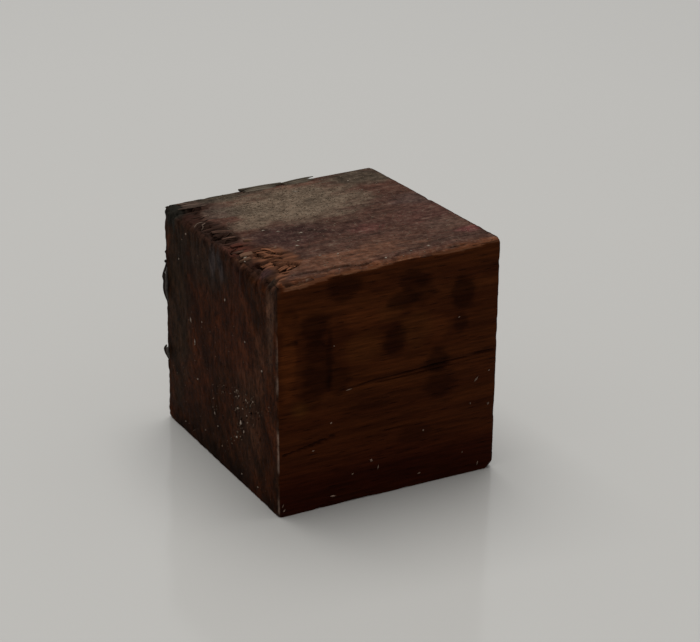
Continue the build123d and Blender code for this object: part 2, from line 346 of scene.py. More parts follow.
# Splinters on the back corner of the torn end: height, how far they stand off it and Y along each, and colour
grey_splinter = (0.085, 0.072, 0.064)
dark_splinter = (0.034, 0.026, 0.021)
ribbons = (
    (((18.0, 0.05, 13.1), (16.9, 0.38, 13.12), (16.3, 0.24, 13.1), (15.5, 0.30, 13.1), (14.7, 0.18, 13.08),
      (13.7, -0.08, 13.05)), dark_splinter),
    (((17.9, 0.0, 12.85), (16.9, 0.16, 12.85), (16.3, 0.08, 12.85), (15.5, 0.14, 12.85), (14.7, 0.06, 12.85),
      (13.8, -0.08, 12.85)), grey_splinter),
    (((17.8, -0.05, 13.0), (16.9, 0.05, 13.0), (15.5, 0.05, 13.0), (13.9, -0.08, 13.0)), dark_splinter),
    (((18.4, -0.15, 13.05), (18.48, 0.05, 13.1), (18.5, 0.22, 13.15)), dark_splinter),
    (((8.75, 0.20, 13.1), (8.3, 0.36, 13.12), (7.6, 0.18, 13.08), (6.9, -0.1, 13.05)), dark_splinter),
    (((8.6, 0.06, 12.9), (8.2, 0.16, 12.9), (7.6, 0.04, 12.9), (7.0, -0.1, 12.9)), grey_splinter),
)
ribbon_points = 14
ribbon_radius = 0.19
ribbon_facing = (-0.8, 0.6, 0.0)

# Thin curled fibres that stand off the torn edge, as pixels along each
curls = (
    ((194.5, 228), (196.4, 225.6), (198.6, 223.9), (202.6, 223)),
    ((202.4, 225.2), (203.4, 227.2), (203.2, 229), (201.7, 231.2)),
    ((202.2, 226), (203.8, 225), (205.6, 223.8)),
)
curl_offset = (-0.10, -0.12, 0.12)
curl_radius = 0.045
curl_colour = (0.16, 0.110, 0.082)

# Points along a bundle or a curl, and around any strand
strand_points = 9
strand_sides = 6

# Bits of dust and wood on each side: pixel, length and width in pixels, lean in degrees
end_bits = (
    (237, 390, 2, 2, 0), (239, 396, 2, 2, 40), (246, 400, 2.5, 2, 90), (253, 402, 2, 1.5, 20),
    (238, 408, 3, 2, 90), (247, 416, 2, 2, 0), (241, 423, 5, 3.5, 60), (237, 437, 3, 2.5, 30),
    (215, 413, 5, 1.5, 90), (186, 234, 2.5, 2, 0), (225, 300, 3, 1.5, 80), (191, 320, 6, 2, 85),
    (202, 322, 2, 1.5, 0), (195, 342, 5, 1.5, 90), (245, 342, 2, 1.5, 0), (262, 371, 2.5, 2, 40),
    (198, 379, 2, 1.5, 60), (218, 426, 2, 1.5, 0), (206, 430, 2, 1.5, 0), (186, 421, 2, 1.5, 0),
    (242, 474, 2.5, 1.5, 10), (258, 487, 2, 1.5, 0), (244, 432, 3, 2, 70), (243, 409, 2, 1.5, 0),
    (179, 259, 2, 1.5, 90),
)
front_bits = (
    (476, 379, 6, 1.8, 50), (423, 430, 3, 2, 120), (331, 423, 3, 2, 70), (313, 451, 3, 1.5, 10),
    (371, 460, 3, 2, 150), (378, 467, 5, 1.5, 90), (352, 474, 3, 2, 20), (470, 403, 2, 2, 0),
    (488, 403, 3, 2, 80), (462, 452, 2.5, 1.5, 90), (489, 370, 3, 2, 40), (477, 463, 5, 1.5, 90),
    (333, 496, 6, 2, 170), (419, 473, 4, 1.5, 10), (349, 389.5, 7, 1, 8), (283, 506, 5, 1.5, 70),
    (284, 511, 3, 2, 60), (459, 317, 3, 1.5, 20), (334, 346, 2, 1.5, 0),
)
top_bits = (
    (296, 191.5, 6, 2.5, 5), (263, 231, 4, 2, 10), (278, 232, 4, 2, 0), (301, 233, 4, 2, 10),
    (297, 246, 4, 2.5, 0), (338, 254, 3, 2.5, 0), (320, 256, 3, 2, 0), (298, 241, 4, 2, 60),
    (348, 181, 3, 2, 30), (245, 258, 3, 2.5, 0), (245, 262, 3, 2.5, 90), (411, 251, 3, 2, 0),
    (428, 246, 4, 2, 0), (386, 258, 3, 1.5, 0), (362, 190, 3, 1.5, 20),
)

# The colour of each side's bits, half sizes as a share of those lengths, and height as a share of width
bit_groups = (
    (end_bits, (0.36, 0.28, 0.22)), (front_bits, (0.20, 0.135, 0.10)), (top_bits, (0.25, 0.205, 0.160)),
)
bit_half_share = 0.56
bit_height_share = 0.7

# A small grain: its corners and faces, the share of its height that it stands proud, how much its axes vary,
# and how squarely the ground under it faces up or out
grain_corners = np.array(((1, 0, 0), (0, 1, 0), (-1, 0, 0), (0, -1, 0), (0, 0, 1), (0, 0, -1)), float)
grain_faces = ((0, 1, 4), (1, 2, 4), (2, 3, 4), (3, 0, 4), (1, 0, 5), (2, 1, 5), (3, 2, 5), (0, 3, 5))
grain_proud = 0.25
grain_spread = (0.6, 1.5)
grain_ground = 0.7

# Sawdust on the top: how many grains are tried, the part of the top that they fall on, how thickly they lie
# on the dusty field and elsewhere, how large they are and their shape
top_grains = 9000
dusty_x = (-12.0, 12.2)
dusty_y = (-12.6, 13.0)
dusty_z = 25.2
dusty_share = 0.8
thin_share = 0.05
dust_sizes = (0.035, 0.095)
dust_shape = (1.2, 1.0, 0.7)

# Clumps of grit on the torn end: the pixel of their middle and how far they spread across and down, in pixels
grit_clumps = (
    ((238, 393), (2.0, 4.0)), ((246, 400), (1.5, 3.5)), ((253, 402), (3.0, 1.5)), ((238, 409), (2.0, 2.5)),
    ((247, 415), (3.0, 5.0)), ((257, 414), (2.0, 4.0)), ((240, 424), (1.5, 4.0)), ((237, 435), (3.0, 3.5)),
    ((215, 410), (1.2, 5.0)), ((230, 443), (4.0, 5.0)), ((224, 391), (4.0, 4.0)),
)

# Grains in each clump, loose grains and the pixels between which they lie, the smallest size and the largest
# of both kinds, the heights between which grit grows rare, how rare, and how light single grains are
clump_grains = 15
loose_grains = 380
loose_pixels = ((172.0, 235.0), (276.0, 500.0))
grit_smallest = 0.02
clump_largest = 0.10
loose_largest = 0.06
grit_heights = (9.0, 17.0)
grit_lost = 0.75
grit_shades = (0.05, 0.6, 1.2, 1.6)

# How much the wood and its dust shine, the floor and the light
wood_gloss = 0.012
floor_colour = (0.50, 0.49, 0.465, 1.0)
floor_roughness = 0.13
floor_half = 4000.0
lamp_place = (30.0, 200.0, 720.0)
lamp_size = 600.0
lamp_power = 4.8
world_strength = 0.38


def smooth_step(low, high, value):
    """0 below low, 1 above high and an even curve between them. High may be the smaller one."""
    share = np.clip((value - low) / (high - low), 0.0, 1.0)
    return share * share * (3.0 - 2.0 * share)


def mix(first, second, share):
    """Blend of two colours, by a share for each point."""
    share = np.asarray(share)[..., None]
    return np.asarray(first) * (1.0 - share) + np.asarray(second) * share


def hashed(cells, seed):
    """A steady random number from 0 to 1 for each cell of a grid."""
    mixed = cells[..., 0] * 374761393 + cells[..., 1] * 668265263 + cells[..., 2] * 974711 + seed * 1274126177
    mixed = (mixed ^ (mixed >> 13)) * 1103515245
    mixed = (mixed ^ (mixed >> 16)) * 1274126177
    return ((mixed ^ (mixed >> 15)) & 0xFFFFFF) / 0xFFFFFF


def noise(points, seed, octaves=1):
    """Smooth noise from -1 to 1 at points that are measured in the noise's own cells."""
    total, weight = 0.0, 0.0
    for octave in range(octaves):
        place = points * 2.0 ** octave
        cell = np.floor(place).astype(np.int64)
        inner = place - cell
        inner = inner * inner * (3.0 - 2.0 * inner)
        value = 0.0
        for corner in np.ndindex(2, 2, 2):
            near = np.prod(np.where(corner, inner, 1.0 - inner), axis=-1)
            value = value + near * hashed(cell + np.array(corner), seed + 31 * octave)
        total = total + (2.0 * value - 1.0) * 0.5 ** octave
        weight += 0.5 ** octave
    return total / weight


def unit(vectors):
    """Vectors at a length of one."""
    return vectors / np.linalg.norm(vectors, axis=-1, keepdims=True)


def smooth_path(knots, count):
    """Points along a smooth curve through some knots."""
    knots = np.asarray(knots, float)
    padded = np.vstack((2 * knots[0] - knots[1], knots, 2 * knots[-1] - knots[-2]))
    spots = np.linspace(0.0, len(knots) - 1, count)
    first = np.minimum(spots.astype(int), len(knots) - 2)
    step = (spots - first)[:, None]
    a, b, c, d = (padded[first + offset] for offset in range(4))
    return b + 0.5 * step * (c - a + step * (2 * a - 5 * b + 4 * c - d + step * (3 * (b - c) + d - a)))


def distance_to_path(points, path):
    """How far each point is from a path of straight runs."""
    nearest = np.full(len(points), np.inf)
    for start, end in zip(path[:-1], path[1:]):
        run = end - start
        share = np.clip((points - start) @ run / (run @ run), 0.0, 1.0)
        nearest = np.minimum(nearest, np.linalg.norm(points - start - share[:, None] * run, axis=1))
    return nearest


def camera_frame():
    """The camera's place and its right, up and backward directions."""
    flat, rise = math.cos(camera_elevation), math.sin(camera_elevation)
    back = np.array((math.sin(camera_azimuth) * flat, -math.cos(camera_azimuth) * flat, rise))
    level = unit(np.cross((0.0, 0.0, 1.0), back))
    upright = np.cross(back, level)
    right = level * math.cos(camera_roll) + upright * math.sin(camera_roll)
    up = upright * math.cos(camera_roll) - level * math.sin(camera_roll)
    return camera_aim + back * camera_distance, right, up, back


eye, camera_right, camera_up, camera_back = camera_frame()


def add_camera():
    """The camera at the photograph's viewing angle."""
    data = bpy.data.cameras.new("camera")
    data.lens = camera_lens
    data.sensor_width = sensor_width
    data.clip_start = 0.01
    data.clip_end = 20.0
    camera = bpy.data.objects.new("camera", data)
    placed = np.eye(4)
    placed[:3, :3] = np.stack((camera_right, camera_up, camera_back), axis=1)
    placed[:3, 3] = eye * metres
    camera.matrix_world = Matrix(placed.tolist())
    bpy.context.scene.collection.objects.link(camera)
    bpy.context.scene.camera = camera


def tree_of_node(node):
    """Search tree over a CAD node in millimetres."""
    corners = [vertex.co / metres for vertex in node.data.vertices]
    return BVHTree.FromPolygons(corners, [tuple(polygon.vertices) for polygon in node.data.polygons])


def seen_at(tree, pixel):
    """The place and the outward direction of the surface that a pixel of the photograph shows."""
    focus = camera_lens / sensor_width * photo_width
    across, down = pixel[0] - photo_width / 2, pixel[1] - photo_height / 2
    ray = camera_right * across - camera_up * down - camera_back * focus
    place, outward, _, _ = tree.ray_cast(Vector(eye), Vector(ray))
    return np.array(place), np.array(outward)


def path_seen(tree, pixels):
    """Places on the surface that a row of pixels shows."""
    return np.array([seen_at(tree, pixel)[0] for pixel in pixels])


def new_piece(name, points, polygons, material):
    """A mesh object from points in millimetres, riding on the cube."""
    mesh = bpy.data.meshes.new(name)
    mesh.from_pydata((np.asarray(points) * metres).tolist(), [], polygons)
    mesh.polygons.foreach_set("use_smooth", [True] * len(mesh.polygons))
    mesh.materials.append(material)
    mesh.update()
    piece = bpy.data.objects.new(name, mesh)
    bpy.context.scene.collection.objects.link(piece)
    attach(piece, "root")
    return piece


def colour_points(piece, colours):
    """A colour for each point of a piece, for its material to read."""
    layer = piece.data.attributes.new("tint", "FLOAT_COLOR", "POINT")
    full = np.ones((len(colours), 4), np.float32)
    full[:, :3] = colours
    layer.data.foreach_set("color", full.ravel())


def value_points(piece, name, values):
    """A number for each point of a piece, for its material to read."""
    layer = piece.data.attributes.new(name, "FLOAT", "POINT")
    layer.data.foreach_set("value", np.asarray(values, np.float32))


class Nodes:
    """Short calls for building a material's node tree."""

    def __init__(self, name):
        self.material = bpy.data.materials.new(name)
        self.material.use_nodes = True
        self.tree = self.material.node_tree
        self.shader = self.tree.nodes["Principled BSDF"]
        self.place = self.add("ShaderNodeTexCoord").outputs["Object"]

    def add(self, kind, **settings):
        node = self.tree.nodes.new(kind)
        for name, value in settings.items():
            setattr(node, name, value)
        return node

    def put(self, value, socket):
        if isinstance(value, bpy.types.NodeSocket):
            self.tree.links.new(value, socket)
        else:
            socket.default_value = value

    def attribute(self, name, output="Fac"):
        return self.add("ShaderNodeAttribute", attribute_name=name).outputs[output]

    def scaled_place(self, per_mm):
        """Object places, with so many texture cells in a millimetre along X, Y and Z."""
        scaled = self.add("ShaderNodeMapping")
        scaled.inputs["Scale"].default_value = [cells / metres for cells in per_mm]
        self.put(self.place, scaled.inputs["Vector"])
        return scaled.outputs["Vector"]

    def noise(self, per_mm, detail, roughness):
        texture = self.add("ShaderNodeTexNoise")
        texture.inputs["Scale"].default_value = 1.0
        texture.inputs["Detail"].default_value = detail
        texture.inputs["Roughness"].default_value = roughness
        self.put(self.scaled_place(per_mm), texture.inputs["Vector"])
        return texture.outputs["Fac"]

    def cells(self, per_mm):
        """Distance to the nearest of random points."""
        texture = self.add("ShaderNodeTexVoronoi")
        texture.inputs["Scale"].default_value = 1.0
        self.put(self.scaled_place(per_mm), texture.inputs["Vector"])
        return texture.outputs["Distance"]

    def math(self, operation, first, second=0.0, third=0.0):
        node = self.add("ShaderNodeMath", operation=operation)
        for value, socket in zip((first, second, third), node.inputs):
            self.put(value, socket)
        return node.outputs[0]

    def spread(self, value, low, high, to_low, to_high):
        """A value's range carried smoothly to another range, and held at its ends."""
        node = self.add("ShaderNodeMapRange", interpolation_type="SMOOTHSTEP")
        for name, number in zip(("From Min", "From Max", "To Min", "To Max"), (low, high, to_low, to_high)):
            node.inputs[name].default_value = number
        self.put(value, node.inputs["Value"])
        return node.outputs["Result"]

    def blend(self, kind, share, first, second):
        node = self.add("ShaderNodeMix", data_type="RGBA", blend_type=kind)
        self.put(share, node.inputs[0])
        self.put(first, node.inputs[6])
        self.put(second, node.inputs[7])
        return node.outputs[2]

    def grey(self, value):
        node = self.add("ShaderNodeCombineColor")
        for socket in node.inputs:
            self.put(value, socket)
        return node.outputs[0]

    def bump(self, height, depth, strength):
        node = self.add("ShaderNodeBump")
        node.inputs["Strength"].default_value = strength
        node.inputs["Distance"].default_value = depth * metres
        self.put(height, node.inputs["Height"])
        self.put(node.outputs["Normal"], self.shader.inputs["Normal"])


def grain_shade(nodes, fibre, hair, pore, dust):
    """How fibres and pores lighten or darken the wood, less where dust covers them."""
    shade = nodes.spread(fibre, 0.30, 0.70, 0.68, 1.34)
    shade = nodes.math("MULTIPLY", shade, nodes.spread(hair, 0.25, 0.75, 0.86, 1.14))
    calm = nodes.math("MULTIPLY_ADD", dust, -0.65, 1.0)
    shade = nodes.math("MULTIPLY_ADD", nodes.math("SUBTRACT", shade, 1.0), calm, 1.0)
    bare_pore = nodes.math("MULTIPLY", pore, nodes.math("SUBTRACT", 1.0, dust))
    return nodes.math("MULTIPLY", shade, nodes.math("MULTIPLY_ADD", bare_pore, -0.45, 1.0))


def film_shade(nodes, crust, dust):
    """How a film of dust lightens or darkens the wood: patchy where thin, and in drifts where thick."""
    thin = nodes.spread(dust, 0.0, 0.25, 0.0, 3.0)
    thick = nodes.spread(dust, 0.4, 0.9, 0.0, 1.3)
    film = nodes.math("MULTIPLY", nodes.math("SUBTRACT", crust, 0.5), nodes.math("SUBTRACT", thin, thick))
    drift = nodes.math("SUBTRACT", nodes.noise((0.30, 0.45, 0.45), 3.0, 0.6), 0.5)
    film = nodes.math("MULTIPLY_ADD", nodes.math("MULTIPLY", drift, dust), 1.6, film)
    return nodes.math("ADD", film, 1.0)


def pale_cover(nodes, crust, dust):
    """How much pale dust covers the wood: specks where it lies thick, and thin curved lines."""
    speck = nodes.noise((3.4, 3.4, 3.4), 3.0, 0.7)
    specks = nodes.math("MULTIPLY", nodes.spread(speck, 0.44, 0.66, 0.0, 0.9), dust)
    specks = nodes.math("MULTIPLY", specks, nodes.spread(crust, 0.35, 0.60, 0.25, 1.0))
    swirl = nodes.math("SUBTRACT", nodes.noise((0.34, 0.5, 0.5), 2.0, 0.5), 0.5)
    lines = nodes.spread(nodes.math("ABSOLUTE", swirl), 0.0, 0.022, 1.0, 0.0)
    lines = nodes.math("MULTIPLY", lines, nodes.spread(crust, 0.48, 0.60, 0.0, 0.4))
    lines = nodes.math("MULTIPLY", lines, nodes.spread(dust, 0.0, 0.15, 0.0, 1.0))
    return nodes.math("MAXIMUM", specks, lines)


def wood_material():
    """Dark hardwood: fibres and pores along X, saw marks on the ends, and dust where it lies."""
    nodes = Nodes("dark_hardwood")
    tint = nodes.attribute("tint", "Color")
    dust = nodes.attribute("dust")
    end = nodes.attribute("end")
    fibre = nodes.noise((0.20, 3.2, 3.2), 6.0, 0.68)
    hair = nodes.noise((0.8, 13.0, 13.0), 3.0, 0.6)
    pore = nodes.spread(nodes.cells((0.33, 3.0, 3.0)), 0.08, 0.26, 1.0, 0.0)
    crust = nodes.noise((1.0, 1.1, 1.1), 5.0, 0.68)
    saw = nodes.noise((0.5, 3.6, 0.4), 6.0, 0.72)
    streak = nodes.math("MULTIPLY", nodes.math("SUBTRACT", saw, 0.5), end)
    blotch = nodes.noise((1.2, 1.5, 0.8), 5.0, 0.75)
    blotch = nodes.math("MULTIPLY", nodes.math("SUBTRACT", blotch, 0.5), end)

    shade = grain_shade(nodes, fibre, hair, pore, dust)
    shade = nodes.math("MULTIPLY", shade, film_shade(nodes, crust, dust))
    shade = nodes.math("MULTIPLY_ADD", streak, 0.9, shade)
    shade = nodes.math("MULTIPLY_ADD", blotch, 3.6, shade)
    colour = nodes.blend("MULTIPLY", 1.0, tint, nodes.grey(nodes.math("MAXIMUM", shade, 0.2)))
    cover = pale_cover(nodes, crust, dust)
    nodes.put(nodes.blend("MIX", cover, colour, (*dust_pale, 1.0)), nodes.shader.inputs["Base Color"])

    rough = nodes.math("MULTIPLY_ADD", dust, 0.3, nodes.spread(fibre, 0.3, 0.7, 0.48, 0.64))
    nodes.put(rough, nodes.shader.inputs["Roughness"])
    nodes.shader.inputs["Specular IOR Level"].default_value = wood_gloss

    height = fibre
    for part, share in ((hair, 0.35), (pore, -0.6), (streak, 0.5), (cover, 0.25)):
        height = nodes.math("MULTIPLY_ADD", part, share, height)
    nodes.bump(height, 0.06, 0.8)
    return nodes.material


def loose_material(name, per_mm, contrast, rough):
    """Small bits of wood and dust: their own tint, broken up by a fine noise."""
    nodes = Nodes(name)
    tint = nodes.attribute("tint", "Color")
    fine = nodes.noise(per_mm, 3.0, 0.6)
    shade = nodes.spread(fine, 0.25, 0.75, 1.0 - contrast, 1.0 + contrast)
    nodes.put(nodes.blend("MULTIPLY", 1.0, tint, nodes.grey(shade)), nodes.shader.inputs["Base Color"])
    nodes.put(nodes.spread(fine, 0.3, 0.7, rough - 0.1, rough + 0.1), nodes.shader.inputs["Roughness"])
    nodes.shader.inputs["Specular IOR Level"].default_value = wood_gloss
    nodes.bump(fine, 0.03, 0.5)
    return nodes.material


def side_planes(tree, low, high):
    """Outward direction and offset of each flat side of the block, felt out on the CAD surface."""
    planes = {}
    for name, (axis, direction, flat) in sides.items():
        others = [other for other in range(3) if other != axis]
        touched = []
        for shares in flat:
            start = np.zeros(3)
            start[others] = [low[o] + (high[o] - low[o]) * share for o, share in zip(others, shares)]
            start[axis] = (high if direction > 0 else low)[axis] + direction * ray_reach
            inward = np.zeros(3)
            inward[axis] = -direction
            touched.append(np.array(tree.ray_cast(Vector(start), Vector(inward))[0]))
        outward = unit(np.cross(touched[1] - touched[0], touched[2] - touched[0]))
        outward *= np.sign(outward[axis]) * direction
        planes[name] = (outward, outward @ touched[0])
    return planes


def sharp_corners(planes):
    """The eight corners of the leaning block, indexed by far end, back and top."""
    corners = np.zeros((2, 2, 2, 3))
    names = (("torn_end", "far_end"), ("front", "back"), ("base", "top"))
    for index in np.ndindex(2, 2, 2):
        chosen = [planes[pair[step]] for pair, step in zip(names, index)]
        corners[index] = np.linalg.solve([plane[0] for plane in chosen], [plane[1] for plane in chosen])
    return corners


def spaced(pitches):
    """Shares of a length at which a mesh has its rows, from the pitch wanted at some places along it."""
    places, pitch = np.array(pitches).T
    fine = np.linspace(0.0, places[-1], pitch_steps)
    rows = np.concatenate(((0.0,), np.cumsum(np.diff(fine) / np.interp(fine[1:], places, pitch))))
    return np.interp(np.linspace(0.0, rows[-1], round(rows[-1]) + 1), rows, fine) / places[-1]


def shell_lattice(counts):
    """Points and outward quads of the skin of a box of cells."""
    ends = np.array(counts)
    index = np.full(ends + 1, -1)
    grid = np.stack(np.meshgrid(*(np.arange(end + 1) for end in ends), indexing="ij"), axis=-1)
    skin = ((grid == 0) | (grid == ends)).any(axis=-1)
    index[skin] = np.arange(skin.sum())
    quads = []
    for axis in range(3):
        first, second = ((1, 2), (2, 0), (0, 1))[axis]
        for side in (0, 1):
            sheet = np.moveaxis(index, (axis, first, second), (0, 1, 2))[-1 if side else 0]
            ring = [sheet[:-1, :-1], sheet[1:, :-1], sheet[1:, 1:], sheet[:-1, 1:]]
            quads.append(np.stack(ring if side else ring[::-1], axis=-1).reshape(-1, 4))
    return grid[skin], np.concatenate(quads)


def depths(tree, points, inward):
    """How far each point lies outside the CAD surface, along its inward direction, or 0 where that misses."""
    found = np.zeros(len(points))
    for row, (point, ray) in enumerate(zip(points, inward)):
        distance = tree.ray_cast(Vector(point - ray * ray_reach), Vector(ray), 3 * ray_reach)[3]
        if distance is not None:
            found[row] = distance - ray_reach
    return found


def block_lattice(corners):
    """Points and quads of the leaning block's skin, and how far along each axis the points are, as shares."""
    rows = [spaced(pitches) for pitches in block_pitches]
    cells, quads = shell_lattice([len(row) - 1 for row in rows])
    shares = np.stack([row[cells[:, axis]] for axis, row in enumerate(rows)], axis=1)
    points = np.zeros((len(cells), 3))
    for index in np.ndindex(2, 2, 2):
        near = np.prod(np.where(index, shares, 1.0 - shares), axis=1)
        points += near[:, None] * corners[index]
    return points, quads, shares


def point_facts(shares, planes):
    """Which sides each point of the skin is on, which way is out there, and how far it is from some edges."""
    on = {name: shares[:, axis] == max(direction, 0) for name, (axis, direction, _) in sides.items()}
    rim = on["top"] & on["torn_end"]
    outward = sum(on[name][:, None] * planes[name][0] for name in sides)
    outward[rim] = planes["top"][0]
    at_side = (shares == 0.0) | (shares == 1.0)
    on_edge = at_side.sum(axis=1) > 1
    inside = np.where(at_side, np.inf, np.minimum(shares, 1.0 - shares) * block_size)
    return SimpleNamespace(
        on=on, rim=rim, on_edge=on_edge, outward=unit(outward), share=shares[:, 1],
        edge_gap=np.where(on_edge, 0.0, np.min(inside, axis=1)), from_end=shares[:, 0] * block_size[0],
        from_front=shares[:, 1] * block_size[1], below_top=(1.0 - shares[:, 2]) * block_size[2],
    )


def depth_limits(facts):
    """The most that each point may be taken in to meet the CAD surface."""
    on, from_end = facts.on, facts.from_end
    limits = np.where(facts.on_edge, edge_round, ray_reach)
    limits[on["back"]] = back_round
    limits[on["torn_end"] & ~on["top"]] = end_round
    limits[on["far_end"] & (on["front"] | on["top"])] = crisp_round
    limits[on["base"] & (on["front"] | on["torn_end"])] = crisp_round
    torn_floor = on["top"] & (from_end < tear_zone) & (facts.from_front > edge_round)
    limits[torn_floor] = floor_depth * smooth_step(0.0, 1.2, from_end[torn_floor])
    limits[facts.rim] = 0.0
    return limits


def felt_depths(points, facts, tree):
    """How far each point is taken in to lie on the CAD surface, which is felt out with a ragged sway."""
    on = facts.on
    sway = tear_sway * smooth_step(0.0, 0.8, facts.edge_gap)
    lookup = points.copy()
    lookup[:, 0] += sway * noise(points * (1.1, 2.3, 2.3), 11, 2) * ~on["torn_end"]
    lookup[:, 1] += sway * noise(points * (0.5, 2.0, 2.0), 12, 2) * ~(on["front"] | on["back"])
    lookup[:, 2] -= felt_below * smooth_step(tear_follow, 0.0, facts.below_top) * on["torn_end"]
    limits = depth_limits(facts)
    depth = np.clip(depths(tree, lookup, -facts.outward), np.minimum(-proud_limit, limits), limits)
    depth[facts.rim] = 0.0
    return depth


def rim_drop(facts):
    """How far the torn edge's rim drops, raggedly, with the top and the end that follow it."""
    on = facts.on
    ragged = rim_ragged * smooth_step(0.1, 0.7, noise(np.outer(facts.from_front, (1.5, 0.0, 0.0)), 14, 3))
    follow = np.where(on["torn_end"], smooth_step(tear_follow, 0.0, facts.below_top),
                      smooth_step(rim_reach, 0.0, facts.from_end) * on["top"])
    return (rim_depth + ragged) * follow


def dressed_block(tree):
    """Points and quads of the block's skin on the CAD surface, and facts about each point."""
    low, high = (np.array(corner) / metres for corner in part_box("wooden_cube"))
    planes = side_planes(tree, low, high)
    corners = sharp_corners(planes)
    points, quads, shares = block_lattice(corners)
    facts = point_facts(shares, planes)
    on, outward = facts.on, facts.outward
    depth = felt_depths(points, facts, tree)

    wander = 0.6 * noise(points * (0.3, 1.8, 1.8), 15, 2)
    comb_end = np.interp(facts.share, comb_shares, comb_ends)
    facts.tear = smooth_step(0.5, -0.3, facts.from_end + wander - comb_end) * on["top"]
    facts.slot = slot_marks(points, tree, facts.from_end, facts.share) * on["top"]
    depth += slot_depth * facts.slot
    split_depth, facts.split = split_marks(points - outward * depth[:, None], tree, on)
    in_split = (facts.split > 0.02) & (on["front"] | on["top"])
    in_split &= (facts.tear < 0.1) & (facts.edge_gap > 0.9)
    depth[in_split] = np.minimum(depth[in_split], crack_follow)
    depth += split_depth * (facts.tear < 0.5)

    points[:, 2] -= rim_drop(facts)
    points -= outward * depth[:, None]
    round_rim(points, facts.share, facts.from_end + facts.below_top)
    round_corners(points, corners)
    return points, quads, facts


def round_rim(points, share, gap):
    """Pushes the points near the rim of the torn edge in, unevenly, by their gap from it along the sides."""
    cut = np.interp(share, rim_shares, rim_cuts) * (1.0 + 0.7 * noise(points * (0.0, 1.1, 0.0), 56, 3))
    points += np.outer(cut / 3.0 * (1.0 - np.clip(gap / cut, 0.0, 1.0)) ** 2, (1.0, 0.0, -1.0))


def round_corners(points, corners):
    """Pushes the points near each knocked corner in along its diagonal."""
    for index, cut in knocked_corners.items():
        inward = 1.0 - 2.0 * np.array(index)
        share = np.clip(((points - corners[index]) * inward).sum(axis=1) / cut, 0.0, 1.0)
        points += inward * (cut / 3.0 * (1.0 - share) ** 2)[:, None]


def split_marks(points, tree, on):
    """Depth and painted shade of the splits along the grain at each point, in the plane of its own side."""
    depth = np.zeros(len(points))
    dark = np.zeros(len(points))
    wobble = 0.07 * noise(points * (0.8, 2.5, 2.5), 51, 2)
    for pixels, deep, half_width in splits.values():
        path = path_seen(tree, pixels)
        swayed = points + wobble[:, None] * (0.0, 0.5, 1.0)
        away = np.where(on["top"], distance_to_path(swayed[:, :2], path[:, :2]),
                        distance_to_path(swayed[:, ::2], path[:, ::2]))
        strength = 0.8 + 0.2 * noise(points * (0.9, 0.5, 0.5), 52)
        depth = np.maximum(depth, deep * strength * smooth_step(half_width, 0.3 * half_width, away))
        dark = np.maximum(dark, strength * smooth_step(1.25 * half_width, 0.35 * half_width, away))
    return depth, dark


def slot_marks(points, tree, from_end, share):
    """How far each point is into the slots of the torn edge, from 0 to 1, for their depth and painted shade.
    """
    marks = np.zeros(len(points))
    for pixels, half_width in slots:
        away = distance_to_path(points[:, :2], path_seen(tree, pixels)[:, :2])
        marks = np.maximum(marks, smooth_step(half_width, 0.7 * half_width, away))
    wander = 0.5 * noise(points * (0.3, 1.8, 1.8), 15, 2)
    inside = smooth_step(-0.3, 0.3, from_end + wander - np.interp(share, comb_shares, comb_starts))
    inside *= smooth_step(0.4, -0.6, from_end + wander - np.interp(share, comb_shares, comb_ends))
    between = smooth_step(0.10, 0.40, noise(points * (0.15, 1.6, 1.6), 13, 2))
    return np.maximum(marks, inside * between * np.interp(share, (0.40, 0.50), (0.0, 0.8)))


def worn_relief(points, facts):
    """How far the surface stands out or in from the CAD solid: fibres, saw marks, pores and knocked edges."""
    on = facts.on
    ends = on["torn_end"] | on["far_end"]
    fibres = 0.030 * noise(points * (0.10, 1.9, 1.9), 21, 2) + 0.012 * noise(points * (0.5, 3.0, 3.0), 22)
    saw = 0.014 * noise(points * (0.3, 2.1, 0.09), 23, 2) + 0.020 * noise(points * (1.0, 2.6, 2.6), 24)
    waves = 0.045 * noise(points * 0.16, 25, 2)
    pits = -0.06 * smooth_step(0.45, 0.85, noise(points * (0.5, 1.6, 1.6), 26))
    near_edge = smooth_step(0.9, 0.05, facts.edge_gap)
    knocks = -0.06 * near_edge * smooth_step(0.05, 0.7, noise(points * 0.8, 27, 2))
    torn = facts.tear * (0.12 * noise(points * (0.35, 2.0, 2.0), 28, 2) - tear_sink)
    broken = on["torn_end"] * smooth_step(4.5, 0.4, facts.below_top)
    broken = broken * 0.20 * noise(points * (1.0, 1.5, 0.45), 29, 3)
    from_corner = (1.0 - facts.share) * block_size[1] + facts.from_end
    fringe = smooth_step(0.9, 0.0, from_corner) * 0.17 * noise(points * (1.0, 1.0, 1.7), 30, 3)
    relief = waves + pits + knocks + torn + broken + fringe + np.where(ends, saw, fibres)
    rim_gap = facts.from_end + facts.below_top
    return relief * (1.0 - (on["torn_end"] | on["top"]) * smooth_step(rim_calm, 0.0, rim_gap))


def patch_cover(points, tree, pixel, half_sizes, streaky=1.0, soft=0.4):
    """How much a ragged patch covers each point. Soft is the share of its size that its rim takes."""
    middle, _ = seen_at(tree, pixel)
    ragged = 0.42 * noise(points * (0.35, 0.7, 0.7), 44, 3)
    ragged += 0.24 * streaky * noise(points * (0.5, 2.6, 2.6), 45, 2)
    away = np.linalg.norm((points - middle) / half_sizes, axis=1) + ragged
    return smooth_step(0.9 + soft, 0.9 - soft, away)


